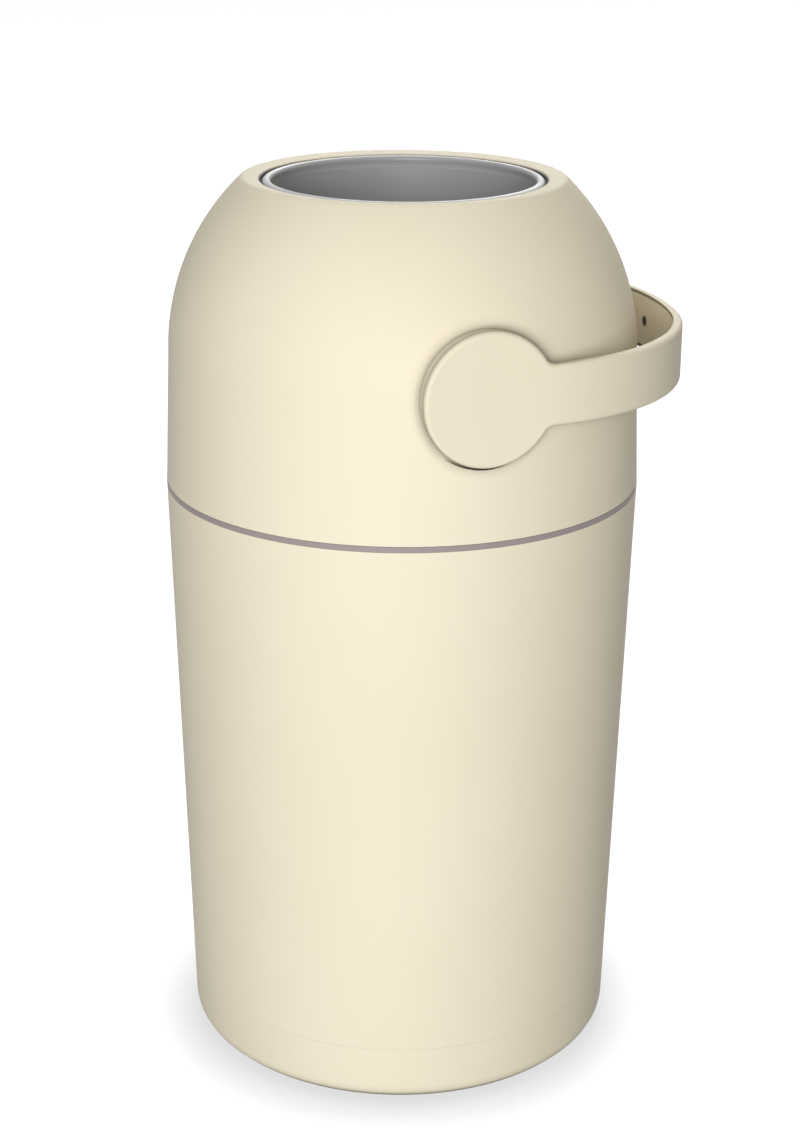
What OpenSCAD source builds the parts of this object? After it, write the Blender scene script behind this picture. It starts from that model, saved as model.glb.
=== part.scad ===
// Nappy bin: a tapered bucket under a domed head. A ball-shaped drum turns in
// the head on a U-shaped handle, and a loose weighted piston slides in the
// drum's chamber, so half a turn drops the nappy into the bag below.
// Millimetres, +Z up, origin on the floor under the middle of the bucket.
// The drum turns about X; at rest the handle's bow points to +Y.

/* [Bucket] */
// Height of the middle of the grey ring between bucket and head
seam_h = 341; // [300:1:420]
// Outer radius at the grey ring
seam_r = 135; // [120:0.5:150]
// How far the tapered wall draws in from the ring to the floor
taper = 9.2; // [2:0.1:16]
// Rounding between the wall and the underside
base_round = 11; // [8:1:20]
// Wall thickness of the large mouldings
wall = 3; // [2.5:0.1:3.5]
// Height that the rubber disc underneath lifts the bucket
foot_lift = 1.2; // [0.8:0.1:3]
// Distance from the tapered wall to the rubber disc underneath
grip_inset = 25.8; // [18:0.1:60]
// Height of the grey ring's visible edge
ring_edge_h = 3; // [2:0.5:5]

/* [Head] */
// How far the drum's outlet hangs below the middle of the grey ring
outlet_hang = 17.6; // [14:0.1:19]
// How far the head draws in from the ring to the dome
dome_draw = 2.9; // [1:0.1:4]
// How far the middle of the dome's ball lies under the drum's axis
dome_drop = 4; // [0:0.1:6]
// Radius of the round opening on top
opening_r = 80; // [72:0.1:82]
// Height that the flat top ring climbs to its shoulder
shoulder_climb = 1.5; // [0.5:0.1:2.5]

/* [Drum] */
// Room between the dome's outside and the drum's ball
drum_room = 12.6; // [12:0.1:16]
// Wall thickness of the drum's shells
drum_wall = 2.5; // [2:0.1:3]
// Step from the opening's edge down to the chamber's wall
tube_step = 5.3; // [5:0.1:6]
// Wall thickness of the chamber's tube
tube_wall = 2.5; // [2:0.1:2.6]
// Radius of the round bead on each end of the chamber
bead_r = 2.9; // [2.5:0.1:3]
// Thickness of the sliding piston
piston_h = 26; // [22:1:40]

/* [Handle] */
// Distance that the inner face of the handle's discs stands off the dome
disc_stand = 1.8; // [1.6:0.1:4]
// Thickness of the handle's band and discs
handle_t = 5.1; // [4.8:0.1:6]
// Radius of the handle's discs
disc_r = 35.9; // [33:0.1:38]
// Height of the handle's band
band_h = 32; // [26:1:40]
// How much further the bow reaches than the discs stand apart
bow_stand = 16; // [12:1:36]
// Distance of the two bends' middle from the bin's middle
corner_x = 15; // [10:1:30]
// Distance of the flatter back's middle behind the drum's axis
back_drop = 25; // [20:1:40]
// Radius of the hollow between disc and band
neck_r = 7; // [4:1:12]

/* [Hidden] */
$fn = 96;

// Colours as seen: warm cream shells, grey ring and chamber
CREAM = [0.92, 0.88, 0.79];
RING_GREY = [0.66, 0.63, 0.63];
TUBE_GREY = [0.58, 0.58, 0.56];
RIM_GREY = [0.74, 0.74, 0.72];
RUBBER = [0.20, 0.20, 0.20];
NATURAL = [0.90, 0.90, 0.86];
STEEL = [0.72, 0.73, 0.75];

// Room between surfaces of bodies that move on each other
run_gap = 0.35;
// Radial room of a shaft in its bush
shaft_gap = 0.05;
// Room round a part that is set into another and screwed down
seat_gap = 0.1;
// Touching pieces of one moulding run into each other by this much
merge = 0.5;
// A cut runs past the surface it opens by this much
past = 1;
// Turn of round surfaces about their axis, and the one that clears the drum's split
$turn = 0;
split_turn = 30;

// The ring, the head's foot and the drum's axis, from the floor up
ring_low_z = seam_h - ring_edge_h / 2;
ring_top_z = seam_h + ring_edge_h / 2;

// The dome holds the drum's ball, whose surface meets the top ring's underside
dome_r = seam_r - dome_draw;
drum_r = dome_r - drum_room;
opening_rise = sqrt(pow(drum_r, 2) - pow(opening_r, 2)) + wall;
outlet_ring_h = 5;
outlet_low_z = opening_rise + outlet_ring_h;
pivot_rise = outlet_low_z - outlet_hang;
pivot_z = seam_h + pivot_rise;
dome_z = pivot_z - dome_drop;
opening_z = pivot_z + opening_rise;
flange_z = opening_z - wall;

// Bucket: wall radius at a height, and the tangent rounding at its foot
foot_r = seam_r - taper;
grip_r = foot_r - grip_inset;
function bucket_r(z) = foot_r + (seam_r - foot_r) * z / seam_h;
lean = atan((seam_r - foot_r) / seam_h);
floor_top = foot_lift + wall;
grip_sunk = 1;

// Head: its wall narrows from the ring to the dome's widest circle
function head_r(z) = seam_r - dome_draw * (z - seam_h) / (dome_z - seam_h);

// Bag ring: a skirt hangs in the bucket, and holds the lock's catches
ring_edge_w = 8;
skirt_r = seam_r - ring_edge_w;
skirt_wall = 2.5;
skirt_h = 22;
skirt_low_z = ring_low_z - skirt_h;
SNAP_COUNT = 8;
snap_reach = 1.6;
snap_up = 8;
snap_h = 4;
snap_angle = 10;
groove_w = 3.2;
groove_out_r = skirt_r + 4.6;
groove_in_r = groove_out_r - groove_w;
groove_deep = 1.5;
gasket_gap = 0.3;
film_gap = 0.2;

// Spigot under the head, with the lugs of a quarter-turn lock
spigot_r = skirt_r - 3;
spigot_wall = 3;
spigot_h = 21;
spigot_low_z = ring_top_z - spigot_h;
LUG_COUNT = 4;
lug_up = 2;
lug_low_z = spigot_low_z + lug_up;
lug_h = 4;
lug_angle = 14;
twist_angle = 20;
stop_angle = 2;
catch_h = 4;
catch_gap = 0.5;
lug_reach = skirt_r - spigot_r - run_gap;

// Cradle: a bowl that holds the drum from below, open at the outlet
bowl_in_r = drum_r + 1;
bowl_wall = 2.5;
bowl_drop = 30;
bowl_top_z = pivot_z - bowl_drop;
outlet_ring_r = opening_r + 8.5;
seal_floor = opening_rise + 1.2;
wiper_in_r = drum_r + run_gap;
top_wiper_h = 9;
top_wiper_r0 = opening_r + 3;
top_wiper_r1 = opening_r + 9;
low_wiper_h = 12;
low_wiper_r0 = opening_r + 1.8;
low_wiper_r1 = opening_r + 6.4;
CRADLE_SCREW_COUNT = 6;
cradle_screw_r = seam_r - 7;
cradle_boss_r = 5;
cradle_boss_h = 26;
cradle_thread_r = 1.5;
cradle_thread_l = 14;
cradle_head_r = 3.2;
cradle_head_t = 1.4;

// Bearing: stub shaft, bush and the flat pad that the disc turns on
disc_in_x = dome_r + disc_stand;
handle_x = disc_in_x + handle_t;
pad_r = disc_r + 0.1;
pad_x = disc_in_x - 0.5;
shaft_r = 13;
bush_r = 17;
bush_flange_r = 22;
bush_flange_t = 2;
boss_in_x = drum_r + 1.4;
inner_boss_r = 25;

// Drum: the hub's socket and the screws that join the two halves
flat_x = drum_r - 2.5;
socket_boss_r = 27;
socket_boss_l = 27.5;
socket_in_x = drum_r - socket_boss_l;
socket_l = 15.5;
socket_x = drum_r - socket_l;
hex_r = 12.5;
nut_r = 5.8;
nut_t = 5;
nut_l = 23.5;
nut_x = drum_r - nut_l;
bolt_r = 3;
bolt_room = 0.2;
bolt_head_r = 5.2;
bolt_head_t = 4;
bolt_head_out = 6.5;
bolt_head_x = drum_r + bolt_head_out;
drive_side = 18;
drive_t = 1.6;
frame_screw_y = 9.2;
frame_screw_r = 1.3;
frame_screw_l = 15;
tube_r = opening_r - tube_step;
rim_h = 7;
tube_half = opening_rise - rim_h;
collar_wall = 5.9;
collar_r = tube_r + collar_wall;
collar_l = 23;
collar_low = tube_half - collar_l;
rim_in_r = tube_r - 2.1;
bead_mid_r = rim_in_r + bead_r;
bead_mid_z = opening_rise - bead_r;
drum_hole_r = rim_in_r + 2 * bead_r + 0.2;
drum_screw_in = 21.5;
drum_screw_x = drum_r - drum_screw_in;
drum_screw_z = 52;
drum_screw_r = 2;
drum_screw_head_r = 4;
drum_screw_head_t = 3;
drum_boss_r = 7;
drum_screw_seat = 14;
drum_screw_l = 16;
drum_boss_l = 24;

// Handle: skin and liner, joined by one screw in the middle of the bow
handle_reach = handle_x + bow_stand;
bow_corner_r = handle_x - corner_x;
bow_back_r = handle_reach + back_drop;
liner_t = 2.5;
skin_edge = 1.7;
stop_in = 7.9;
stop_r = disc_r - stop_in;
stop_peg_r = 2.5;
stop_deep = 1.5;
bow_screw_r = 3.2;
bow_screw_hole_r = 1.5;
bow_seat = 1.4;
bow_head_t = 1;
arm_y = sqrt(pow(bow_back_r - bow_corner_r, 2) - pow(corner_x, 2)) - back_drop;
bend = atan2(arm_y + back_drop, corner_x);

// Piston: a closed drum-shaped slug round a steel weight
piston_r = tube_r - 0.8;
piston_rest = 0.05;
piston_z = pivot_z - tube_half + piston_rest;
piston_wall = 2.5;
piston_side = 6;
lid_r = piston_r - 3;
seal_r = tube_r - run_gap;
seal_in_r = piston_r - 2.5;
seal_up = 10;
seal_h = 6;
weight_in = 21.9;
weight_r = piston_r - weight_in;
weight_h = 7;
PISTON_SCREW_COUNT = 4;
piston_screw_in = 11.9;
piston_screw_ring = piston_r - piston_screw_in;
piston_screw_r = 1.3;
piston_screw_l = 12;
piston_head_r = 2.7;
piston_head_t = 1.1;
piston_seat = 1.4;

// Points along an arc, for the outline of a turned or sawn shape
function arc(cx, cy, r, a0, a1, n) =
    [for (i = [0:n]) let (a = a0 + (a1 - a0) * i / n) [cx + r * cos(a), cy + r * sin(a)]];

// A plain ring about Z from z0 to z1
module ring(r_in, r_out, z0, z1) {
    translate([0, 0, z0]) rotate([0, 0, $turn])
        difference() {
            cylinder(r = r_out, h = z1 - z0);
            translate([0, 0, -past]) cylinder(r = r_in, h = z1 - z0 + 2 * past);
        }
}

// A piece of a ring, from angle a0 over the given sweep
module ring_piece(r_in, r_out, z0, z1, a0, sweep) {
    rotate([0, 0, a0])
        rotate_extrude(angle = sweep)
            translate([r_in, z0]) square([r_out - r_in, z1 - z0]);
}

// A rod along +X at the height of the drum's axis
module x_rod(r, x0, x1) {
    translate([x0, 0, pivot_z]) rotate([0, 90, 0]) rotate([0, 0, $turn])
        cylinder(r = r, h = x1 - x0);
}

// The ball of a given radius about the middle of the drum
module ball(r, facets = $fn) {
    translate([0, 0, pivot_z]) rotate([0, 0, $turn]) sphere(r, $fn = facets);
}

// Both ends of something that is drawn at +X
module both_sides() {
    children();
    mirror([1, 0, 0]) children();
}

// Bucket: turned wall with a rounded foot, and a floor with a recess for the rubber disc
module bucket_solid(inset, low, high) {
    corner = base_round - inset;
    mid_z = low + corner;
    mid_r = bucket_r(mid_z - corner * sin(lean)) - inset - corner * cos(lean);
    rotate_extrude()
        polygon(concat(
            [[0, high], [0, low]],
            arc(mid_r, mid_z, corner, -90, -lean, 10),
            [[bucket_r(high) - inset, high]]));
}

module bucket_shell() {
    color(CREAM)
        difference() {
            bucket_solid(0, foot_lift, ring_low_z);
            bucket_solid(wall, floor_top, ring_low_z + past);
            translate([0, 0, -past]) cylinder(r = grip_r, h = foot_lift + grip_sunk + past);
        }
}

// A flat rubber disc, let into the underside, keeps the bin from sliding
module base_grip() {
    color(RUBBER) cylinder(r = grip_r, h = foot_lift + grip_sunk);
}

// Bag ring: the grey edge seen at the seam, a skirt with snaps, and the lock's catches
module bag_ring() {
    color(RING_GREY) {
        difference() {
            ring(skirt_r, bucket_r(seam_h), ring_low_z, ring_top_z);
            ring(groove_in_r, groove_out_r, ring_top_z - groove_deep, ring_top_z + past);
        }
        ring(skirt_r, skirt_r + skirt_wall, skirt_low_z, ring_low_z);
        for (i = [0:LUG_COUNT - 1])
            lock_catch(i * 360 / LUG_COUNT);
        for (i = [0:SNAP_COUNT - 1])
            ring_piece(skirt_r + skirt_wall - merge, skirt_r + skirt_wall + snap_reach,
                       skirt_low_z + snap_up, skirt_low_z + snap_up + snap_h,
                       (i + 0.5) * 360 / SNAP_COUNT - snap_angle / 2, snap_angle);
    }
}

// One catch: a ledge over the lug after the twist, with a stop at its far end
module lock_catch(a) {
    ledge_z = lug_low_z + lug_h + catch_gap;
    far = a - lug_angle / 2 - twist_angle - stop_angle - catch_gap;
    ring_piece(skirt_r - lug_reach, skirt_r + merge, ledge_z, ledge_z + catch_h,
               far, twist_angle + 2 * catch_gap);
    ring_piece(skirt_r - lug_reach, skirt_r + merge, lug_low_z, ledge_z + merge, far, stop_angle);
}

module ring_gasket() {
    color(RUBBER)
        ring(groove_in_r + gasket_gap, groove_out_r - gasket_gap, ring_top_z - groove_deep,
             ring_top_z - film_gap);
}

// The dome's own ball, cut off below its widest circle
module dome_ball(r, top_z) {
    intersection() {
        translate([0, 0, dome_z]) sphere(r);
        translate([0, 0, dome_z]) cylinder(r = r + past, h = top_z - dome_z);
    }
}

// Outside of the head as a full solid: half a ball on a slightly tapered foot
module head_solid() {
    translate([0, 0, ring_top_z])
        cylinder(r1 = head_r(ring_top_z), r2 = dome_r, h = dome_z - ring_top_z);
    dome_ball(dome_r, dome_z + dome_r + past);
}

// Hollow of the head, up to the underside of the flat top ring
module head_hollow() {
    translate([0, 0, ring_top_z - past])
        cylinder(r1 = head_r(ring_top_z - past) - wall, r2 = dome_r - wall, h = dome_z - ring_top_z + past);
    dome_ball(dome_r - wall, flange_z);
}

module dome_shell() {
    shoulder_r = sqrt(pow(dome_r, 2) - pow(opening_rise + shoulder_climb + dome_drop, 2));
    climb = shoulder_climb / (shoulder_r - opening_r);
    color(CREAM)
        difference() {
            union() {
                difference() {
                    union() {
                        head_solid();
                        both_sides() x_rod(pad_r, drum_r, pad_x);
                    }
                    head_hollow();
                }
                both_sides() x_rod(inner_boss_r, boss_in_x, dome_r - wall + merge);
                intersection() {
                    head_solid();
                    cradle_bosses();
                }
            }
            // The top ring falls gently inwards to the opening's edge
            rotate_extrude()
                polygon([[0, opening_z - past], [opening_r, opening_z],
                         [dome_r, opening_z + climb * (dome_r - opening_r)],
                         [dome_r, pivot_z + dome_r + past], [0, pivot_z + dome_r + past]]);
            cylinder(r = opening_r, h = pivot_z + dome_r);
            ball(drum_r + 2 * run_gap);
            both_sides() x_rod(bush_r, drum_r, pad_x + past);
            cradle_screw_places() translate([0, 0, ring_top_z])
                cylinder(r = cradle_thread_r, h = cradle_thread_l + cradle_boss_r);
        }
    // Pegs that stop the handle at both ends of its half turn
    color(CREAM)
        both_sides()
            translate([pad_x, 0, pivot_z + stop_r])
                rotate([0, 90, 0]) cylinder(r = stop_peg_r, h = stop_deep);
}

module cradle_screw_places() {
    for (i = [0:CRADLE_SCREW_COUNT - 1])
        rotate([0, 0, 30 + i * 360 / CRADLE_SCREW_COUNT]) translate([cradle_screw_r, 0, 0]) children();
}

module cradle_bosses() {
    cradle_screw_places()
        translate([0, 0, ring_top_z + wall]) cylinder(r = cradle_boss_r, h = cradle_boss_h);
}

// Cradle: floor, bowl, outlet and the spigot with its four lock lugs
module drum_cradle() {
    color(NATURAL) {
        difference() {
            union() {
                ring(outlet_ring_r - merge, head_r(ring_top_z + wall) - wall - seat_gap,
                     ring_top_z, ring_top_z + wall);
                intersection() {
                    ball(bowl_in_r + bowl_wall);
                    ring(opening_r, dome_r, pivot_z - outlet_low_z, bowl_top_z);
                }
                ring(opening_r, outlet_ring_r, pivot_z - outlet_low_z, ring_top_z);
            }
            ball(bowl_in_r);
            ring(low_wiper_r0, low_wiper_r1, pivot_z - seal_floor, pivot_z);
            cradle_screw_places() translate([0, 0, ring_top_z - past])
                cylinder(r = cradle_thread_r + bolt_room, h = wall + 2 * past);
            cradle_screw_places() translate([0, 0, ring_top_z - past])
                cylinder(r = cradle_head_r + bolt_room, h = past + bolt_room + cradle_head_t);
        }
        ring(spigot_r - spigot_wall, spigot_r, spigot_low_z, ring_top_z);
        for (i = [0:LUG_COUNT - 1])
            ring_piece(spigot_r - merge, spigot_r + lug_reach, lug_low_z, lug_low_z + lug_h,
                       i * 360 / LUG_COUNT - lug_angle / 2, lug_angle);
    }
}

// Wiper seals fill the room between the fixed rings and the turning ball
module top_wiper_seal() {
    color(RUBBER)
        difference() {
            ring(top_wiper_r0, top_wiper_r1, flange_z - top_wiper_h, flange_z);
            ball(wiper_in_r, 240);
        }
}

module outlet_wiper_seal() {
    color(RUBBER)
        difference() {
            ring(low_wiper_r0, low_wiper_r1, pivot_z - seal_floor, pivot_z - seal_floor + low_wiper_h);
            ball(wiper_in_r, 240);
        }
}

// A flanged bush lines each shaft hole from the inside
module bush() {
    difference() {
        union() {
            x_rod(bush_r, boss_in_x, pad_x);
            x_rod(bush_flange_r, boss_in_x - bush_flange_t, boss_in_x);
        }
        x_rod(shaft_r + shaft_gap, drum_r - past, pad_x + past);
    }
}

module right_bush() { color(NATURAL) bush(); }
module left_bush() { color(NATURAL) mirror([1, 0, 0]) bush(); }

module cradle_screws() {
    color(STEEL)
        cradle_screw_places() {
            translate([0, 0, ring_top_z + bolt_room]) cylinder(r = cradle_head_r, h = cradle_head_t);
            translate([0, 0, ring_top_z + bolt_room + cradle_head_t])
                cylinder(r = cradle_thread_r, h = cradle_thread_l);
        }
}

// Drum: hollow ball between the chamber's ends, with sockets for the hubs
module drum_ball() {
    $turn = split_turn;
    difference() {
        union() {
            difference() {
                ball(drum_r);
                ball(drum_r - drum_wall);
            }
            intersection() {
                ball(drum_r - 1);
                union() {
                    both_sides() x_rod(socket_boss_r, socket_in_x, drum_r);
                    drum_screw_places() rotate([90, 0, 0])
                        cylinder(r = drum_boss_r, h = 2 * drum_boss_l, center = true);
                    ring(tube_r + tube_wall, collar_r, pivot_z + collar_low, pivot_z + drum_r);
                    ring(tube_r + tube_wall, collar_r, pivot_z - drum_r, pivot_z - collar_low);
                }
            }
        }
        both_sides() translate([flat_x, -disc_r, pivot_z - disc_r]) cube(2 * disc_r);
        both_sides() hub_socket();
        rotate([0, 0, $turn]) {
            translate([0, 0, pivot_z + tube_half]) cylinder(r = drum_hole_r, h = drum_r);
            translate([0, 0, pivot_z - tube_half - drum_r]) cylinder(r = drum_hole_r, h = drum_r);
            cylinder(r = tube_r + tube_wall, h = 2 * pivot_z);
        }
    }
}

// Six-sided socket, bolt hole and pocket for the trapped nut
module hub_socket() {
    x_hex(hex_r, socket_x, drum_r);
    x_hex(nut_r, nut_x, nut_x + nut_t);
    x_rod(bolt_r + bolt_room, nut_x + nut_t, socket_x + past);
    x_rod(bolt_r + bolt_room, nut_x - 2 * past, nut_x);
}

module x_hex(r, x0, x1) {
    translate([x0, 0, pivot_z]) rotate([0, 90, 0]) cylinder(r = r, h = x1 - x0, $fn = 6);
}

module drum_screw_places() {
    for (x = [-drum_screw_x, drum_screw_x], z = [-drum_screw_z, drum_screw_z])
        translate([x, 0, pivot_z + z]) children();
}

module half_space(side) {
    translate([-dome_r, side > 0 ? 0 : -dome_r, pivot_z - dome_r]) cube([2 * dome_r, dome_r, 2 * dome_r]);
}

module drum_half_front() {
    color(NATURAL)
        difference() {
            intersection() {
                drum_ball();
                half_space(-1);
            }
            drum_screw_places() {
                rotate([90, 0, 0]) translate([0, 0, -past])
                    cylinder(r = drum_screw_r + bolt_room, h = drum_screw_seat + 2 * past);
                rotate([90, 0, 0]) translate([0, 0, drum_screw_seat])
                    cylinder(r = drum_screw_head_r + 0.5, h = drum_screw_z);
            }
        }
}

module drum_half_back() {
    color(NATURAL)
        difference() {
            intersection() {
                drum_ball();
                half_space(1);
            }
            drum_screw_places()
                rotate([-90, 0, 0]) translate([0, 0, -past])
                    cylinder(r = drum_screw_r, h = drum_screw_l + past + seat_gap);
        }
}

module drum_screws() {
    color(STEEL)
        drum_screw_places()
            rotate([90, 0, 0]) {
                translate([0, 0, -drum_screw_l])
                    cylinder(r = drum_screw_r, h = drum_screw_l + drum_screw_seat);
                translate([0, 0, drum_screw_seat])
                    cylinder(r = drum_screw_head_r, h = drum_screw_head_t);
            }
}

module chamber_tube() {
    color(TUBE_GREY) ring(tube_r, tube_r + tube_wall, pivot_z - tube_half, pivot_z + tube_half);
}

// Rim: a beaded ring on each end of the chamber, which also keeps the piston in
module rim_ring() {
    rotate_extrude() {
        translate([bead_mid_r, bead_mid_z]) circle(r = bead_r);
        translate([rim_in_r, tube_half]) square([2 * bead_r, bead_mid_z - tube_half]);
    }
}

module upper_rim_ring() { color(RIM_GREY) translate([0, 0, pivot_z]) rim_ring(); }
module lower_rim_ring() { color(RIM_GREY) translate([0, 0, pivot_z]) mirror([0, 0, 1]) rim_ring(); }

// Hub: six-sided plug in the drum, round shaft in the bush, square drive in the handle
module hub() {
    difference() {
        union() {
            x_hex(hex_r, socket_x, flat_x);
            x_rod(shaft_r, flat_x, disc_in_x);
            translate([disc_in_x, -drive_side / 2, pivot_z - drive_side / 2])
                cube([drive_t, drive_side, drive_side]);
        }
        x_rod(bolt_r + bolt_room, socket_x - past, bolt_head_x);
        x_rod(bolt_head_r + bolt_room, bolt_head_x, handle_x);
        for (y = [-frame_screw_y, frame_screw_y])
            translate([handle_x - frame_screw_l - past, y, pivot_z]) rotate([0, 90, 0])
                cylinder(r = frame_screw_r, h = frame_screw_l + past);
    }
}

module right_hub() { color(NATURAL) hub(); }
module left_hub() { color(NATURAL) mirror([1, 0, 0]) hub(); }

module hub_bolts() {
    color(STEEL)
        both_sides() {
            x_rod(bolt_r, nut_x, bolt_head_x);
            x_rod(bolt_head_r, bolt_head_x, bolt_head_x + bolt_head_t);
        }
}

module hub_nuts() {
    color(STEEL)
        both_sides()
            difference() {
                x_hex(nut_r, nut_x, nut_x + nut_t);
                x_rod(bolt_r, nut_x - past, nut_x + nut_t + past);
            }
}

// Band of the handle in plan: two straight arms, two bends and a flatter back
module bow(inset, t, half_h) {
    outer = bow_line(inset);
    inner = bow_line(inset + t);
    translate([0, 0, -half_h])
        linear_extrude(height = 2 * half_h)
            polygon(concat(outer, [for (i = [len(inner) - 1:-1:0]) inner[i]]));
}

// One face of the band in plan, from the right disc round to the left disc
function bow_line(inset) = let (
    right = concat(
        [[handle_x - inset, -disc_r]],
        arc(corner_x, arm_y, bow_corner_r - inset, 0, bend, 12),
        arc(0, -back_drop, bow_back_r - inset, bend, 90, 8)))
    concat(right, [for (i = [len(right) - 2:-1:0]) [-right[i][0], right[i][1]]]);

// Side view of the handle: a disc that runs into the band through hollow necks
module side_view(inset) {
    half = band_h / 2 - inset;
    neck = neck_r + inset;
    neck_z = half + neck;
    neck_y = sqrt(pow(disc_r - inset + neck, 2) - pow(neck_z, 2));
    edge = arc(neck_y, neck_z, neck, atan2(-neck_z, -neck_y), -90, 6);
    disc_a = atan2(edge[0][1], edge[0][0]);
    polygon(concat(
        arc(0, 0, disc_r - inset, 360 - disc_a, disc_a, 40), edge,
        [[handle_reach + past, half], [handle_reach + past, -half]],
        [for (i = [len(edge) - 1:-1:0]) [edge[i][0], -edge[i][1]]]));
}

module handle_solid(inset, t, side_inset) {
    translate([0, 0, pivot_z])
        intersection() {
            bow(inset, t, disc_r);
            rotate([90, 0, 90]) linear_extrude(height = 2 * (handle_x + past), center = true)
                side_view(side_inset);
        }
}

module handle_cover() {
    color(CREAM)
        difference() {
            handle_solid(0, handle_t, 0);
            handle_solid(handle_t - liner_t, liner_t + past, skin_edge);
            translate([0, handle_reach - handle_t, pivot_z])
                rotate([-90, 0, 0]) cylinder(r = bow_screw_hole_r, h = handle_t - 1);
        }
}

// Liner with the arc slots for the stops, the hub's drive and the screw's seat
module handle_frame() {
    color(CREAM)
        difference() {
            handle_solid(handle_t - liner_t, liner_t, skin_edge);
            both_sides() {
                translate([disc_in_x - past, -drive_side / 2, pivot_z - drive_side / 2])
                    cube([drive_t + past, drive_side, drive_side]);
                stop_slot();
                for (y = [-frame_screw_y, frame_screw_y])
                    translate([disc_in_x, y, pivot_z]) rotate([0, 90, 0])
                        cylinder(r = frame_screw_r + bolt_room, h = handle_t);
            }
            translate([0, handle_reach - handle_t - past, pivot_z])
                rotate([-90, 0, 0]) cylinder(r = bow_screw_r, h = past + bow_seat);
            translate([0, handle_reach - handle_t, pivot_z])
                rotate([-90, 0, 0]) cylinder(r = bow_screw_hole_r + bolt_room, h = handle_t);
        }
}

// Half-round slot in the disc's underside, which runs past a fixed peg
module stop_slot() {
    room = stop_peg_r + run_gap;
    deep = stop_deep + 0.2 + past;
    translate([disc_in_x - past, 0, pivot_z])
        rotate([90, 0, 90]) {
            rotate([0, 0, -90])
                rotate_extrude(angle = 180)
                    translate([stop_r - room, 0]) square([2 * room, deep]);
            for (z = [-stop_r, stop_r])
                translate([0, z, 0]) cylinder(r = room, h = deep);
        }
}

module frame_screws() {
    color(STEEL)
        both_sides()
            for (y = [-frame_screw_y, frame_screw_y])
                translate([handle_x - frame_screw_l, y, pivot_z]) rotate([0, 90, 0])
                    cylinder(r = frame_screw_r, h = frame_screw_l - handle_t + liner_t);
}

module bow_screw() {
    color(STEEL)
        translate([0, handle_reach - handle_t, pivot_z])
            rotate([-90, 0, 0]) {
                translate([0, 0, bow_seat - bow_head_t]) cylinder(r = bow_screw_r - 0.4, h = bow_head_t);
                translate([0, 0, bow_seat]) cylinder(r = bow_screw_hole_r, h = handle_t - bow_seat - 1);
            }
}

// Piston: an open cup, its lid, a steel weight, a ring seal and four screws
module piston_body() {
    color(CREAM)
        difference() {
            translate([0, 0, piston_z]) cylinder(r = piston_r, h = piston_h);
            translate([0, 0, piston_z - past])
                cylinder(r = piston_r - piston_side, h = piston_h - piston_wall + past);
            ring(seal_in_r, piston_r + past, piston_z + seal_up, piston_z + seal_up + seal_h);
            piston_lid_place(seat_gap);
        }
    color(CREAM)
        piston_screw_places()
            difference() {
                translate([0, 0, piston_z + piston_wall])
                    cylinder(r = 4, h = piston_h - 2 * piston_wall);
                cylinder(r = piston_screw_r, h = piston_z + piston_screw_l + 2 * past);
            }
}

module piston_lid_place(room) {
    translate([0, 0, piston_z - room]) cylinder(r = lid_r + room, h = piston_wall + room);
}

module piston_screw_places() {
    for (i = [0:PISTON_SCREW_COUNT - 1])
        rotate([0, 0, 45 + i * 360 / PISTON_SCREW_COUNT]) translate([piston_screw_ring, 0, 0]) children();
}

module piston_cap() {
    color(CREAM)
        difference() {
            piston_lid_place(0);
            piston_screw_places() cylinder(r = piston_head_r + bolt_room, h = piston_z + piston_seat);
            piston_screw_places() cylinder(r = piston_screw_r + bolt_room, h = piston_z + piston_h);
        }
}

module piston_seal() {
    color(RUBBER) ring(seal_in_r, seal_r, piston_z + seal_up, piston_z + seal_up + seal_h);
}

module piston_weight() {
    color(STEEL)
        translate([0, 0, piston_z + piston_wall]) cylinder(r = weight_r, h = weight_h);
}

module piston_screws() {
    color(STEEL)
        piston_screw_places() {
            translate([0, 0, piston_z + piston_seat - piston_head_t])
                cylinder(r = piston_head_r, h = piston_head_t);
            translate([0, 0, piston_z + piston_seat]) cylinder(r = piston_screw_r, h = piston_screw_l);
        }
}

bucket_shell();
base_grip();
bag_ring();
ring_gasket();
dome_shell();
drum_cradle();
top_wiper_seal();
outlet_wiper_seal();
left_bush();
right_bush();
cradle_screws();
drum_half_front();
drum_half_back();
chamber_tube();
upper_rim_ring();
lower_rim_ring();
drum_screws();
left_hub();
right_hub();
hub_bolts();
hub_nuts();
handle_frame();
handle_cover();
frame_screws();
bow_screw();
piston_body();
piston_cap();
piston_seal();
piston_weight();
piston_screws();
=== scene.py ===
from math import asin, atan2, cos, pi, radians, sin, sqrt, tan

import bmesh
import bpy
from mathutils import Euler, Matrix, Vector


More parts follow.
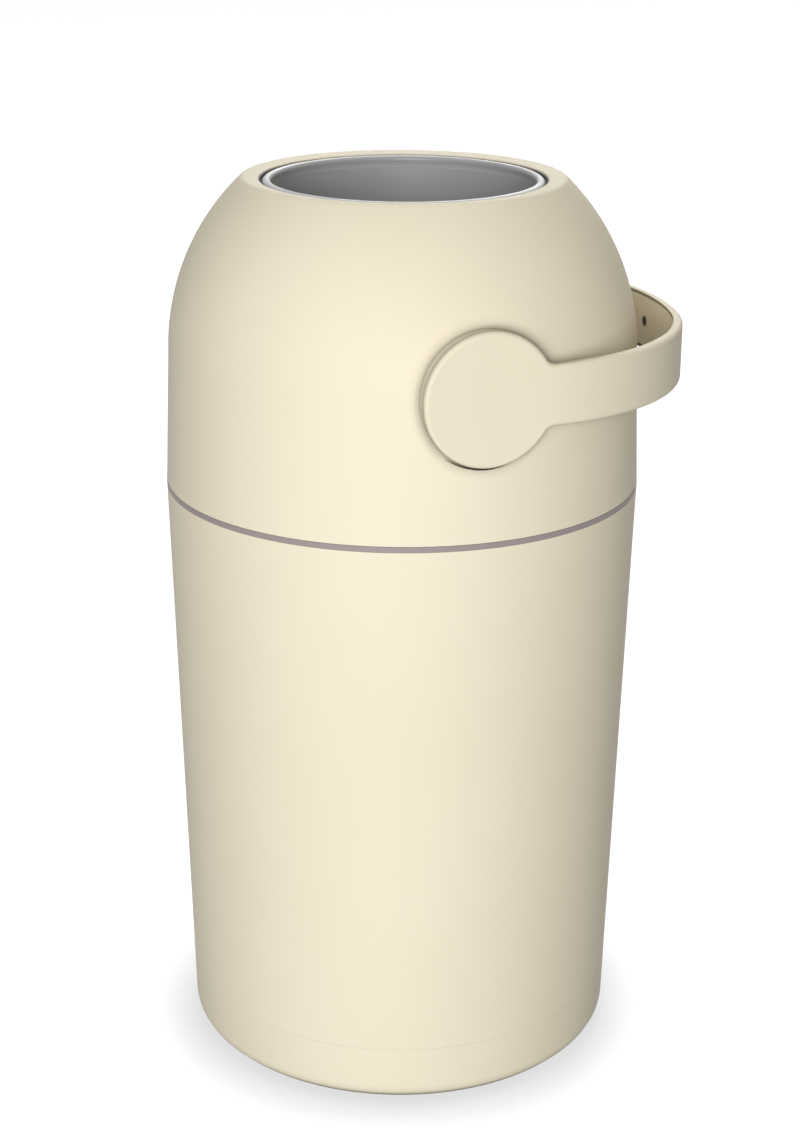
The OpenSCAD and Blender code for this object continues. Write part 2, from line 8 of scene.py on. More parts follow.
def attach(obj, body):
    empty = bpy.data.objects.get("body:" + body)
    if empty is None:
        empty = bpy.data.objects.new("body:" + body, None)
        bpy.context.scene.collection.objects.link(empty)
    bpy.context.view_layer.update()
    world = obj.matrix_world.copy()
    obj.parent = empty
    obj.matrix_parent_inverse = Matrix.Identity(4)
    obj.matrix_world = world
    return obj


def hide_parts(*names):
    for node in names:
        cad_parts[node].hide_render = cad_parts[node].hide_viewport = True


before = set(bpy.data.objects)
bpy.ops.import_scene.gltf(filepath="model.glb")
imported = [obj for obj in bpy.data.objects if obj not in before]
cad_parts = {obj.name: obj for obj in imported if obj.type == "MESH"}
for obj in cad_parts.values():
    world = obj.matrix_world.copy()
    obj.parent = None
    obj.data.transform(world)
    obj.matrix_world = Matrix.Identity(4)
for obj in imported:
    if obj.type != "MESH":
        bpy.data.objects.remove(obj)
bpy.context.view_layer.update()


# Bucket: the lower body, one tapered injection moulding in a warm cream
# plastic. The foot is rounded, the floor is flat, and the open top carries
# the grey ring. Its surface has a fine, even satin grain.
def moulded_plastic(name, deep, light, rough, grain=0.3, speckle=1500, sheen_level=0.35):
    """Tone that drifts a little over the moulding, a fine grain, and patches of more and less sheen."""
    material = bpy.data.materials.new(name)
    material.use_nodes = True
    nodes = material.node_tree.nodes
    links = material.node_tree.links
    surface = nodes["Principled BSDF"]
    surface.inputs["Specular IOR Level"].default_value = sheen_level
    place = nodes.new("ShaderNodeTexCoord")

    drift = nodes.new("ShaderNodeTexNoise")
    drift.inputs["Scale"].default_value = 7
    drift.inputs["Detail"].default_value = 3
    tone = nodes.new("ShaderNodeValToRGB")
    tone.color_ramp.elements[0].position = 0.35
    tone.color_ramp.elements[0].color = (*deep, 1)
    tone.color_ramp.elements[1].position = 0.65
    tone.color_ramp.elements[1].color = (*light, 1)
    links.new(place.outputs["Object"], drift.inputs["Vector"])
    links.new(drift.outputs["Fac"], tone.inputs["Fac"])
    links.new(tone.outputs["Color"], surface.inputs["Base Color"])

    patches = nodes.new("ShaderNodeTexNoise")
    patches.inputs["Scale"].default_value = 45
    patches.inputs["Detail"].default_value = 4
    spread = nodes.new("ShaderNodeMapRange")
    spread.inputs["To Min"].default_value = rough - 0.04
    spread.inputs["To Max"].default_value = rough + 0.04
    links.new(place.outputs["Object"], patches.inputs["Vector"])
    links.new(patches.outputs["Fac"], spread.inputs["Value"])
    links.new(spread.outputs["Result"], surface.inputs["Roughness"])

    pits = nodes.new("ShaderNodeTexNoise")
    pits.inputs["Scale"].default_value = speckle
    pits.inputs["Detail"].default_value = 2
    relief = nodes.new("ShaderNodeBump")
    relief.inputs["Strength"].default_value = grain
    relief.inputs["Distance"].default_value = 0.00004
    links.new(place.outputs["Object"], pits.inputs["Vector"])
    links.new(pits.outputs["Fac"], relief.inputs["Height"])
    links.new(relief.outputs["Normal"], surface.inputs["Normal"])
    return material


def round_corner(bm, corner, radius, steps=5):
    """Gives one corner of an outline a fillet of that radius."""
    ways = [edge.other_vert(corner).co - corner.co for edge in corner.link_edges]
    turn = pi - ways[0].angle(ways[1])
    bmesh.ops.bevel(bm, geom=[corner], offset=radius * tan(turn / 2), offset_type="OFFSET",
                    affect="VERTICES", segments=steps, profile=0.5, material=-1)


def turn_outline(bm, outline, joined=False, steps=180, placed=Matrix()):
    """Turns an outline of (radius, height[, fillet]) into a shell round the Z axis.
    An entry ("arc", height, angle, fillet) carries the outline on round that height on the axis."""
    before = set(bm.verts)
    first, last, fillets = None, None, []
    for entry in outline:
        if entry[0] == "arc":
            swept = bmesh.ops.spin(bm, geom=[last], cent=(0, 0, entry[1]), axis=(0, -1, 0),
                                   angle=entry[2], steps=40, use_merge=False,
                                   use_normal_flip=False, use_duplicate=False)
            last = swept["geom_last"][0]
            fillets.append((last, entry[3]))
            continue
        point = bm.verts.new((entry[0], 0, entry[1]))
        if last:
            bm.edges.new((last, point))
        first, last = first or point, point
        if len(entry) > 2:
            fillets.append((point, entry[2]))
    if joined:
        bm.edges.new((last, first))
    for point, radius in fillets:
        if radius:
            round_corner(bm, point, radius)
    drawn = [v for v in bm.verts if v not in before]
    lines = {edge for v in drawn for edge in v.link_edges}
    bmesh.ops.spin(bm, geom=drawn + list(lines), cent=(0, 0, 0), axis=(0, 0, 1), angle=2 * pi,
                   steps=steps, use_merge=True, use_normal_flip=False, use_duplicate=False)
    turned = [v for v in bm.verts if v not in before]
    bmesh.ops.transform(bm, matrix=placed, verts=turned)


def make_piece(name, bm, body, material, nodes=()):
    """Closes a mesh, turns its faces outwards, and fits it on its body in place of CAD nodes."""
    bmesh.ops.remove_doubles(bm, verts=bm.verts, dist=0.000001)
    bmesh.ops.recalc_face_normals(bm, faces=bm.faces)
    for face in bm.faces:
        face.smooth = True
    for edge in bm.edges:
        edge.smooth = not edge.is_manifold or edge.calc_face_angle() < radians(40)
    mesh = bpy.data.meshes.new(name)
    bm.to_mesh(mesh)
    bm.free()
    mesh.materials.append(material)
    piece = bpy.data.objects.new(name, mesh)
    bpy.context.scene.collection.objects.link(piece)
    even = piece.modifiers.new("even_shading", "WEIGHTED_NORMAL")
    even.keep_sharp = True
    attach(piece, body)
    if nodes:
        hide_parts(*nodes)
    return piece


def paint_gap_shade(material, reach, shut, clear, deep=(0.075, 0.055, 0.028)):
    """Paints shade into the colour in the narrow gaps between mouldings, where little light gets in:
    the tone turns dark brown as the gap closes.
    """
    nodes = material.node_tree.nodes
    links = material.node_tree.links
    surface = nodes["Principled BSDF"]
    tone = surface.inputs["Base Color"].links[0].from_socket
    gap = nodes.new("ShaderNodeAmbientOcclusion")
    gap.samples = 8
    gap.inputs["Distance"].default_value = reach
    painted_shade_mask = nodes.new("ShaderNodeMapRange")
    painted_shade_mask.inputs["From Min"].default_value = shut
    painted_shade_mask.inputs["From Max"].default_value = clear
    mixed = nodes.new("ShaderNodeMix")
    mixed.data_type = "RGBA"
    # Painted shade: the dark brown that the colour turns to in gaps.
    mixed.inputs[6].default_value = (*deep, 1)
    links.new(gap.outputs["AO"], painted_shade_mask.inputs["Value"])
    links.new(painted_shade_mask.outputs["Result"], mixed.inputs[0])
    links.new(tone, mixed.inputs[7])
    links.new(mixed.outputs[2], surface.inputs["Base Color"])


cream_satin = moulded_plastic("cream_satin", (0.876, 0.797, 0.620), (0.898, 0.821, 0.646), 0.54,
                              sheen_level=0.14)
# Painted shade: the cream turns dark brown in gaps and beside parts within 8 mm.
paint_gap_shade(cream_satin, 0.008, 0.32, 0.93)

foot_r, foot_z, foot_round = 0.12583, 0.0012, 0.011
bucket_r, bucket_in_r, bucket_top_z = 0.13496, 0.13196, 0.3395
floor_r, floor_top_z, floor_round = 0.12291, 0.0042, 0.008
grip_seat_r, grip_seat_z = 0.100, 0.0022
hairline = [(0.12677, 0.0362), (0.12669, 0.0363), (0.12678, 0.0364)]
bucket = bmesh.new()
turn_outline(bucket, [
    (0, grip_seat_z), (grip_seat_r, grip_seat_z, 0.0003), (grip_seat_r, foot_z, 0.0004),
    (foot_r, foot_z, foot_round), *hairline, (bucket_r, bucket_top_z, 0.0004),
    (bucket_in_r, bucket_top_z, 0.0004), (floor_r, floor_top_z, floor_round), (0, floor_top_z)])
make_piece("tapered_bucket", bucket, "bucket", cream_satin, ["bucket_shell"])


# Rubber disc let into the underside, which keeps the bin from sliding. It is
# a soft dark moulding with three shallow grooves, pressed into its recess.
grip_rubber = moulded_plastic("grip_rubber", (0.030, 0.030, 0.031), (0.042, 0.042, 0.043), 0.72,
                              grain=0.5, speckle=900, sheen_level=0.25)
grip = bmesh.new()
grip_r, grip_top_z, groove_w, groove_z, groove_edge = 0.0997, 0.0021, 0.004, 0.0006, 0.0002
grip_line = [(0, grip_top_z), (grip_r, grip_top_z, groove_edge), (grip_r, 0, 0.0005)]
for groove_r in (0.088, 0.070, 0.052):
    grip_line += [(groove_r, 0, groove_edge), (groove_r - 0.001, groove_z, groove_edge),
                  (groove_r - 0.003, groove_z, groove_edge), (groove_r - groove_w, 0, groove_edge)]
turn_outline(grip, grip_line + [(0, 0)])
make_piece("grip_disc", grip, "bucket", grip_rubber, ["base_grip"])


# Bag ring: the grey moulding whose edge is the line round the bin's middle.
# It sits on the bucket by a snapped skirt, holds the bag's open end, and its
# catches lock the head. The soft gasket lies in the groove on its top.
def dress(name, material):
    """Gives a CAD node its finish on every slot."""
    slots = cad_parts[name].material_slots
    for slot in slots:
        slot.material = material
    if not slots:
        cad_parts[name].data.materials.append(material)


ring_grey = moulded_plastic("ring_grey", (0.325, 0.274, 0.271), (0.353, 0.298, 0.295), 0.50,
                            sheen_level=0.3)
seal_rubber = moulded_plastic("seal_rubber", (0.028, 0.028, 0.029), (0.040, 0.040, 0.041), 0.62,
                              grain=0.4, speckle=1100, sheen_level=0.3)
dress("bag_ring", ring_grey)
dress("ring_gasket", seal_rubber)


# Head's floor: the pale bowl that holds the turning drum from below, with the
# outlet in its middle and the spigot and lugs that lock into the bag ring. Two
# wiper seals close the room round the ball, and six screws hold it all up.
natural_plastic = moulded_plastic("natural_plastic", (0.70, 0.69, 0.64), (0.75, 0.74, 0.69), 0.50)


def turned_steel(name, tint, rough):
    """Plated steel with a fine turned grain and a little variation in its polish."""
    material = moulded_plastic(name, [c * 0.92 for c in tint], tint, rough, grain=0.35,
                               speckle=2200, sheen_level=0.5)
    material.node_tree.nodes["Principled BSDF"].inputs["Metallic"].default_value = 1
    return material


screw_steel = turned_steel("screw_steel", (0.56, 0.57, 0.58), 0.34)
dress("drum_cradle", natural_plastic)
dress("top_wiper_seal", seal_rubber)
dress("outlet_wiper_seal", seal_rubber)
dress("cradle_screws", screw_steel)


# Drum: a ball of two shells, screwed together at the split, that turns with
# the handle. The chamber's tube runs through it, with a beaded ring on each
# end, and six-sided hubs with a bolt and nut carry it on both sides.
drum_plastic = moulded_plastic("drum_plastic", (0.215, 0.215, 0.212), (0.245, 0.245, 0.240), 0.46)
chamber_grey = moulded_plastic("chamber_grey", (0.410, 0.409, 0.413), (0.450, 0.449, 0.453), 0.42,
                               speckle=1300)
rim_grey = moulded_plastic("rim_grey", (0.640, 0.634, 0.640), (0.680, 0.674, 0.680), 0.34)
# The rim is painted a dark grey on its inside, darker than the chamber's own grey, as shade inside the
# chamber, and is pale on its bead.
nodes, links = rim_grey.node_tree.nodes, rim_grey.node_tree.links
rim_tone = nodes["Principled BSDF"].inputs["Base Color"]
lip_spot = nodes.new("ShaderNodeTexCoord")
lip_flat = nodes.new("ShaderNodeVectorMath")
lip_flat.operation = "MULTIPLY"
lip_flat.inputs[1].default_value = (1, 1, 0)
lip_reach = nodes.new("ShaderNodeVectorMath")
lip_reach.operation = "LENGTH"
lip_side = nodes.new("ShaderNodeMapRange")
lip_side.inputs["From Min"].default_value = 0.0731
lip_side.inputs["From Max"].default_value = 0.0748
rim_inside_shade = nodes.new("ShaderNodeMix")
rim_inside_shade.data_type = "RGBA"
# Painted shade: the dark grey on the rim's inside.
rim_inside_shade.inputs[6].default_value = (0.330, 0.329, 0.333, 1)
links.new(rim_tone.links[0].from_socket, rim_inside_shade.inputs[7])
links.new(lip_spot.outputs["Object"], lip_flat.inputs[0])
links.new(lip_flat.outputs["Vector"], lip_reach.inputs[0])
links.new(lip_reach.outputs["Value"], lip_side.inputs["Value"])
links.new(lip_side.outputs["Result"], rim_inside_shade.inputs[0])
links.new(rim_inside_shade.outputs[2], rim_tone)

pivot_z = 0.42017
tube_half, tube_in_r, tube_r, tube_edge = 0.08477, 0.0747, 0.0772, 0.0003
tube = bmesh.new()
turn_outline(tube, [
    (radius, pivot_z + end * tube_half, tube_edge)
    for radius, end in ((tube_in_r, -1), (tube_r, -1), (tube_r, 1), (tube_in_r, 1))], joined=True)
make_piece("chamber_wall", tube, "drum", chamber_grey, ["chamber_tube"])

rim_top, rim_r, rim_in_r, rim_foot_r, bead = 0.09177, 0.0784, 0.0726, 0.0743, 0.00285
for side, name in ((1, "upper_rim_ring"), (-1, "lower_rim_ring")):
    rim = bmesh.new()
    turn_outline(rim, [
        (rim_foot_r, tube_half, tube_edge), (rim_r, tube_half, tube_edge),
        (rim_r, rim_top, bead), (rim_in_r, rim_top, bead)], joined=True)
    bmesh.ops.scale(rim, vec=(1, 1, side), verts=rim.verts)
    bmesh.ops.translate(rim, vec=(0, 0, pivot_z), verts=rim.verts)
    make_piece(name.replace("rim_ring", "beaded_rim"), rim, "drum", rim_grey, [name])

dress("drum_half_front", drum_plastic)
dress("drum_half_back", drum_plastic)
for name in ("left_hub", "right_hub", "left_bush", "right_bush"):
    dress(name, natural_plastic)
for name in ("drum_screws", "hub_bolts", "hub_nuts", "frame_screws"):
    dress(name, screw_steel)


# Piston: the loose weighted plug that slides down the chamber as the drum
# turns over, and pushes the nappy out. A closed cream cup with a lid below, a
# steel weight inside, and one rubber ring that wipes the chamber's wall.
piston_z = pivot_z - tube_half
piston_cream = moulded_plastic("piston_cream", (0.80, 0.765, 0.66), (0.84, 0.80, 0.69), 0.42)
weight_steel = turned_steel("weight_steel", (0.40, 0.41, 0.42), 0.45)
cup = bmesh.new()
cup_r, cup_h, cup_in_r, dish_h = 0.0739, 0.026, 0.0679, 0.0250
lid_seat_r, lid_seat_h = 0.0710, 0.0026
seal_seat_r, seal_low, seal_high = 0.0714, 0.010, 0.016
turn_outline(cup, [
    (0, piston_z + 0.0235), (cup_in_r, piston_z + 0.0235, 0.001), (cup_in_r, piston_z + lid_seat_h),
    (lid_seat_r, piston_z + lid_seat_h), (lid_seat_r, piston_z, 0.0003), (cup_r, piston_z, 0.0008),
    (cup_r, piston_z + seal_low, 0.0003), (seal_seat_r, piston_z + seal_low),
    (seal_seat_r, piston_z + seal_high), (cup_r, piston_z + seal_high, 0.0003),
    (cup_r, piston_z + cup_h, 0.0022), (0.060, piston_z + cup_h, 0.004),
    (0.054, piston_z + dish_h, 0.004), (0, piston_z + dish_h)])
make_piece("piston_cup", cup, "piston", piston_cream, ["piston_body"])
dress("piston_cap", piston_cream)
dress("piston_seal", seal_rubber)
dress("piston_weight", weight_steel)
dress("piston_screws", screw_steel)


# Dome: the head's outer moulding in the bucket's cream. A slightly tapered
# foot runs into half a ball, cut off by a gently dished ring round the
# opening. A flat round pad on each side carries the drum's shaft.
dome_r, dome_in_r, dome_z = 0.1321, 0.1291, pivot_z - 0.004
head_low_r, head_low_in_r, head_low_z = 0.13494, 0.13194, 0.3425
opening_z, under_z, shoulder_z = pivot_z + 0.09177, pivot_z + 0.08877, pivot_z + 0.09327
shoulder_turn = asin((shoulder_z - dome_z) / dome_r)
under_turn = asin((under_z - dome_z) / dome_in_r)
dome = bmesh.new()
turn_outline(dome, [
    (head_low_r, head_low_z, 0.0004), (dome_r, dome_z), ("arc", dome_z, shoulder_turn, 0.004),
    (0.0797, opening_z, 0.0011), (0.0802, under_z, 0.0004),
    (dome_in_r * cos(under_turn), under_z), ("arc", dome_z, -under_turn, 0),
    (head_low_in_r, head_low_z, 0.0004)], joined=True)
shell_mesh = bpy.data.meshes.new("dome_shell_blank")
bmesh.ops.recalc_face_normals(dome, faces=dome.faces)
dome.to_mesh(shell_mesh)
dome.free()
shell = bpy.data.objects.new("dome_shell_blank", shell_mesh)
bpy.context.scene.collection.objects.link(shell)
disc_seat_r, disc_seat_x, clear_x = 0.0381, 0.1312, 0.150
cutters = bmesh.new()
for side in (1, -1):
    turn_outline(cutters, [(0, disc_seat_x), (disc_seat_r, disc_seat_x), (disc_seat_r, clear_x),
                           (0, clear_x)], steps=96,
                 placed=Matrix.Translation((0, 0, pivot_z)) @ Matrix.Rotation(side * pi / 2, 4, "Y"))
bmesh.ops.remove_doubles(cutters, verts=cutters.verts, dist=0.000001)
bmesh.ops.recalc_face_normals(cutters, faces=cutters.faces)
cutter_mesh = bpy.data.meshes.new("seat_cutters")
cutters.to_mesh(cutter_mesh)
cutters.free()
cutter = bpy.data.objects.new("seat_cutters", cutter_mesh)
bpy.context.scene.collection.objects.link(cutter)
seat_cut = shell.modifiers.new("seat_cut", "BOOLEAN")
seat_cut.operation = "DIFFERENCE"
seat_cut.solver = "EXACT"
seat_cut.object = cutter
dome = bmesh.new()
dome.from_mesh(shell.evaluated_get(bpy.context.evaluated_depsgraph_get()).to_mesh())
for spare in (shell_mesh, cutter_mesh):
    bpy.data.meshes.remove(spare)
pad_r, pad_x, shaft_r, collar_r, collar_x = 0.0351, 0.1334, 0.0170, 0.0250, 0.1209
peg_r, peg_x = 0.0025, 0.1349
boss_r, boss_bore_r, boss_low_z, boss_top_z = 0.0048, 0.0015, 0.3455, 0.3715
for side in (1, -1):
    over_x = Matrix.Translation((0, 0, pivot_z)) @ Matrix.Rotation(side * pi / 2, 4, "Y")
    turn_outline(dome, [
        (shaft_r, collar_x), (collar_r, collar_x), (collar_r, 0.1265), (pad_r, 0.1240),
        (pad_r, pad_x, 0.0010), (shaft_r, pad_x, 0.0004)], joined=True, steps=120,
        placed=over_x)
    turn_outline(dome, [(0, 0.1320), (peg_r, 0.1320), (peg_r, peg_x, 0.0004), (0, peg_x)],
                 steps=32, placed=Matrix.Translation((0, 0, 0.028)) @ over_x)
for sixth in range(6):
    around = radians(30 + 60 * sixth)
    turn_outline(dome, [
        (boss_bore_r, boss_low_z), (boss_r, boss_low_z, 0.0004), (boss_r, boss_top_z),
        (boss_bore_r, boss_top_z)],
        joined=True, steps=32,
        placed=Matrix.Translation((0.1272 * cos(around), 0.1272 * sin(around), 0)))
make_piece("domed_head", dome, "head", cream_satin, ["dome_shell"])


# Painted shade in the opening: a thin black rubber ring on the opening's inner edge. It fills the gap
# round the chamber's rim, and its black stands for the shade in that gap as a dark line.
gap_shade_ring = bmesh.new()
turn_outline(gap_shade_ring, [
    (0.0792, pivot_z + 0.0898, 0.0001), (0.0803, pivot_z + 0.0898), (0.0803, pivot_z + 0.0910),
    (0.0793, pivot_z + 0.0910, 0.0003)], joined=True)
make_piece("opening_shade_ring", gap_shade_ring, "head", seal_rubber)


# Handle: a U-shaped band with a round disc on each end, screwed to the hubs.
# A cream skin wraps the outside and the edges, and a liner closes the inside,
# held by one sunk screw in the middle of the bow. Its rims are well rounded.
reach_x, band_t, disc_r, band_half, neck = 0.139, 0.0051, 0.0361, 0.0164, 0.007
bend_x, bend_r, back_r, back_y = 0.015, 0.124, 0.180, -0.025
arm_y = back_y + sqrt((back_r - bend_r) ** 2 - bend_x ** 2)
bend_turn = atan2(arm_y - back_y, bend_x)
bend_end = arm_y + bend_r * bend_turn
bow_mid = bend_end + back_r * (pi / 2 - bend_turn)


def handle_blank(inset, outer, inner):
    """The handle's band and discs as one flat strip, laid out along Y, before it is bent."""
    bm = bmesh.new()
    disc, half = disc_r - inset, band_half - inset
    neck_z = band_half + neck
    neck_y = sqrt((disc_r + neck) ** 2 - neck_z ** 2)
    tangent = atan2(neck_z, neck_y)
    nose = bm.verts.new((outer, -disc, 0))
    round_disc = bmesh.ops.spin(bm, geom=[nose], cent=(outer, 0, 0), axis=(-1, 0, 0),
                                angle=pi - tangent, steps=64, use_merge=False,
                                use_normal_flip=False, use_duplicate=False)
    hollow = bmesh.ops.spin(bm, geom=[round_disc["geom_last"][0]], cent=(outer, neck_y, neck_z),
                            axis=(1, 0, 0), angle=pi / 2 - tangent, steps=12, use_merge=False,
                            use_normal_flip=False, use_duplicate=False)
    middle = bm.verts.new((outer, bow_mid, half))
    bm.edges.new((hollow["geom_last"][0], middle))
    bmesh.ops.mirror(bm, geom=bm.verts[:] + bm.edges[:], matrix=Matrix(), merge_dist=0.00001,
                     axis="Z")
    bmesh.ops.mirror(bm, geom=bm.verts[:] + bm.edges[:],
                     matrix=Matrix.Translation((0, -bow_mid, 0)), merge_dist=0.00001, axis="Y")
    bmesh.ops.remove_doubles(bm, verts=bm.verts, dist=0.00001)
    face = bmesh.ops.contextual_create(bm, geom=bm.edges[:])["faces"]
    grown = bmesh.ops.extrude_face_region(bm, geom=face)["geom"]
    bmesh.ops.translate(bm, vec=(inner - outer, 0, 0),
                        verts=[v for v in grown if isinstance(v, bmesh.types.BMVert)])
    bmesh.ops.recalc_face_normals(bm, faces=bm.faces)
    return bm


def caps(bm, depth):
    """Faces of the strip that lie flat at that depth."""
    return [f for f in bm.faces if all(abs(v.co.x - depth) < 0.000005 for v in f.verts)]


def round_rim(bm, depth, radius, steps):
    """Rounds the edges all round the strip's face at that depth."""
    rim = {e for f in caps(bm, depth) for e in f.edges}
    bmesh.ops.bevel(bm, geom=list(rim), offset=radius, offset_type="OFFSET", affect="EDGES",
                    segments=steps, profile=0.5, material=-1)


def bend_to_bow(bm):
    """Cuts the strip across its bends, then lays it round the two bends and the flatter back."""
    cuts = [arm_y + (bend_end - arm_y) * i / 36 for i in range(37)]
    cuts += [bend_end + (bow_mid - bend_end) * i / 10 for i in range(1, 10)]
    cuts += [2 * bow_mid - cut for cut in cuts] + [bow_mid - 0.006, bow_mid + 0.006]
    for cut in cuts:
        bmesh.ops.bisect_plane(bm, geom=bm.verts[:] + bm.edges[:] + bm.faces[:], dist=0.0000001,
                               plane_co=(0, cut, 0), plane_no=(0, 1, 0))
    for vert in bm.verts:
        depth, along, height = vert.co
        side = 1 if along < bow_mid else -1
        along = min(along, 2 * bow_mid - along)
        if along <= arm_y:
            spot = Vector((reach_x + depth, along))
        elif along <= bend_end:
            turn = (along - arm_y) / bend_r
            spot = Vector((bend_x, arm_y)) + (bend_r + depth) * Vector((cos(turn), sin(turn)))
        else:
            turn = bend_turn + (along - bend_end) / back_r
            spot = Vector((0, back_y)) + (back_r + depth) * Vector((cos(turn), sin(turn)))
        vert.co = (side * spot.x, spot.y, pivot_z + height)


handle_cream = moulded_plastic("handle_cream", (0.855, 0.777, 0.602), (0.877, 0.801, 0.630), 0.54,
                               sheen_level=0.14)
# Painted shade: the handle's cream turns dark brown where the dome and other parts lie within 24 mm.
paint_gap_shade(handle_cream, 0.024, 0.56, 1.0)
skin_wall, skin_floor, rim_round, liner_gap = 0.0017, 0.0025, 0.0023, 0.0018
skin = handle_blank(0, 0, -band_t)
round_rim(skin, 0, rim_round, 6)
bmesh.ops.inset_region(skin, faces=caps(skin, -band_t), thickness=skin_wall, depth=0,
                       use_even_offset=True, use_boundary=True)
floor_face = max(caps(skin, -band_t), key=lambda f: f.calc_area())
sunk = bmesh.ops.extrude_face_region(skin, geom=[floor_face])["geom"]
bmesh.ops.delete(skin, geom=[floor_face], context="FACES_ONLY")
bmesh.ops.translate(skin, vec=(skin_floor, 0, 0),
                    verts=[v for v in sunk if isinstance(v, bmesh.types.BMVert)])
bend_to_bow(skin)
make_piece("handle_skin", skin, "drum", handle_cream, ["handle_cover"])

liner = handle_blank(liner_gap, -0.0026, -band_t)
round_rim(liner, -band_t, 0.0004, 3)
screw_seat_r, screw_seat_depth = 0.0032, 0.0014
for level in (-0.006, 0.006):
    bmesh.ops.bisect_plane(liner, geom=liner.verts[:] + liner.edges[:] + liner.faces[:],
                           dist=0.0000001, plane_co=(0, 0, level), plane_no=(0, 0, 1))
    bmesh.ops.bisect_plane(liner, geom=liner.verts[:] + liner.edges[:] + liner.faces[:],
                           dist=0.0000001, plane_co=(0, bow_mid + level, 0), plane_no=(0, 1, 0))
bow = Vector((-band_t, bow_mid, 0))
seat = min(caps(liner, -band_t), key=lambda f: (f.calc_center_median() - bow).length)
bmesh.ops.subdivide_edges(liner, edges=seat.edges[:], cuts=5, use_grid_fill=False)
seat = min(caps(liner, -band_t), key=lambda f: (f.calc_center_median() - bow).length)
bmesh.ops.inset_individual(liner, faces=[seat], thickness=0.001, depth=0, use_even_offset=True)
for vert in seat.verts:
    vert.co = bow + (vert.co - bow).normalized() * screw_seat_r
bmesh.ops.inset_individual(liner, faces=[seat], thickness=0.00005, depth=-screw_seat_depth,
                           use_even_offset=True)
bend_to_bow(liner)
liner_cream = moulded_plastic("liner_cream", (0.855, 0.777, 0.602), (0.877, 0.801, 0.630), 0.58,
                              sheen_level=0.14)
# Painted shade: the liner's cream darkens where other parts lie within 20 mm.
paint_gap_shade(liner_cream, 0.020, 0.05, 1.0)
make_piece("handle_liner", liner, "drum", liner_cream, ["handle_frame"])
dress("bow_screw", turned_steel("blackened_steel", (0.060, 0.055, 0.045), 0.55))


# Studio: a white floor that fades into a white room, with a darker ring painted round the bin's foot as
# its shadow. One broad soft lamp near the camera does most of the work; three weaker ones fill the top
# and sides.
floor = bmesh.new()
bmesh.ops.create_grid(floor, x_segments=1, y_segments=1, size=6)
floor_mesh = bpy.data.meshes.new("studio_floor")
floor.to_mesh(floor_mesh)
floor.free()
studio_floor = bpy.data.objects.new("studio_floor", floor_mesh)
bpy.context.scene.collection.objects.link(studio_floor)



def seen_directly(nodes, links):
    """1 for a ray from the camera, or one that it sends by a gloss or through a clear piece."""
    ray = nodes.new("ShaderNodeLightPath")
    found = ray.outputs["Is Camera Ray"]
    for kind in ("Is Glossy Ray", "Is Transmission Ray"):
        either = nodes.new("ShaderNodeMath")
        either.operation = "MAXIMUM"
        links.new(found, either.inputs[0])
        links.new(ray.outputs[kind], either.inputs[1])
        found = either.outputs["Value"]
    return found


floor_paper = bpy.data.materials.new("floor_paper")
floor_paper.use_nodes = True
nodes, links = floor_paper.node_tree.nodes, floor_paper.node_tree.links
paper = nodes["Principled BSDF"]
paper.inputs["Base Color"].default_value = (0.245, 0.25, 0.26, 1)
paper.inputs["Roughness"].default_value = 0.9
paper.inputs["Specular IOR Level"].default_value = 0
glow = nodes.new("ShaderNodeEmission")
lift = nodes.new("ShaderNodeMath")
lift.operation = "MULTIPLY"
spot = nodes.new("ShaderNodeTexCoord")
reach = nodes.new("ShaderNodeVectorMath")
reach.operation = "LENGTH"
# Painted shadow: the floor's glow drops to two thirds within 12 to 17.5 cm of the bin's middle.
painted_contact_shadow = nodes.new("ShaderNodeMapRange")
painted_contact_shadow.interpolation_type = "SMOOTHSTEP"
painted_contact_shadow.inputs["From Min"].default_value = 0.118
painted_contact_shadow.inputs["From Max"].default_value = 0.175
painted_contact_shadow.inputs["To Min"].default_value = 0.66
painted_contact_shadow.inputs["To Max"].default_value = 1.0
links.new(spot.outputs["Object"], reach.inputs[0])
links.new(reach.outputs["Value"], painted_contact_shadow.inputs["Value"])
links.new(painted_contact_shadow.outputs["Result"], lift.inputs[1])
both = nodes.new("ShaderNodeAddShader")
links.new(seen_directly(nodes, links), lift.inputs[0])
links.new(lift.outputs["Value"], glow.inputs["Strength"])
links.new(paper.outputs["BSDF"], both.inputs[0])
links.new(glow.outputs["Emission"], both.inputs[1])
links.new(both.outputs["Shader"], nodes["Material Output"].inputs["Surface"])
floor_mesh.materials.append(floor_paper)

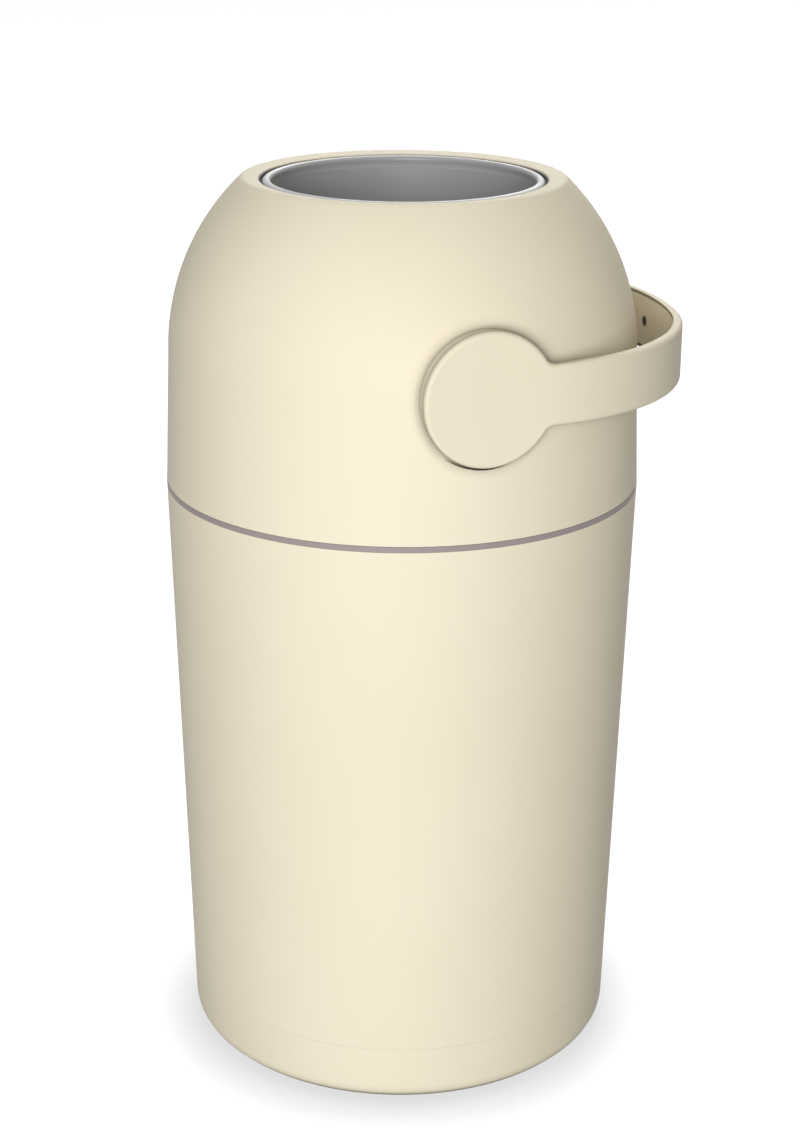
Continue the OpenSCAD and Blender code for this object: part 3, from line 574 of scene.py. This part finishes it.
room = bpy.data.worlds.new("studio_room")
room.use_nodes = True
nodes, links = room.node_tree.nodes, room.node_tree.links
ambient = nodes["Background"]
ambient.inputs["Strength"].default_value = 0.09
white = nodes.new("ShaderNodeBackground")
white.inputs["Color"].default_value = (1, 1, 1, 1)
ambient.inputs["Color"].default_value = (1, 0.965, 0.89, 1)
pick = nodes.new("ShaderNodeMixShader")
links.new(seen_directly(nodes, links), pick.inputs["Fac"])
links.new(ambient.outputs["Background"], pick.inputs[1])
links.new(white.outputs["Background"], pick.inputs[2])
links.new(pick.outputs["Shader"], nodes["World Output"].inputs["Surface"])
bpy.context.scene.world = room

view_side = 0.334


def soft_lamp(name, azimuth, elevation, distance, size, power, tint=(1, 1, 1)):
    """A square soft box that looks at the middle of the bin from that side."""
    lamp = bpy.data.lights.new(name, "AREA")
    lamp.color = tint
    lamp.size = size
    lamp.energy = power
    box = bpy.data.objects.new(name, lamp)
    bpy.context.scene.collection.objects.link(box)
    way = Vector((cos(azimuth) * cos(elevation), sin(azimuth) * cos(elevation), sin(elevation)))
    box.location = Vector((0, 0, 0.26)) + way * distance
    box.rotation_euler = way.to_track_quat("Z", "Y").to_euler()


soft_lamp("key_box", -view_side - radians(7.5), radians(10), 3.4, 1.6, 106)
soft_lamp("top_box", -view_side, radians(106), 2.4, 1.4, 10)
soft_lamp("back_box", -view_side + radians(172), radians(38), 3.0, 1.6, 38)
soft_lamp("right_box", -view_side + radians(112), radians(22), 3.0, 1.6, 8, (1, 0.93, 0.80))


# Camera: it stands at about lid height above the bin, a little to the left of
# the handle's disc, and looks down on the opening.
eye = bpy.data.cameras.new("studio_camera")
eye.lens = 69.716
eye.sensor_width = 36
eye.sensor_fit = "AUTO"
camera = bpy.data.objects.new("studio_camera", eye)
bpy.context.scene.collection.objects.link(camera)
camera.location = (1.1461, -0.3977, 0.7172)
pitch = 0.3433
sight = Vector((-cos(view_side) * cos(pitch), sin(view_side) * cos(pitch), -sin(pitch)))
level = sight.to_track_quat("-Z", "Y").to_matrix()
camera.rotation_euler = (level @ Euler((0, 0.000615, 0.0059)).to_matrix()).to_euler()
bpy.context.scene.camera = camera
bpy.context.scene.view_settings.view_transform = "Standard"
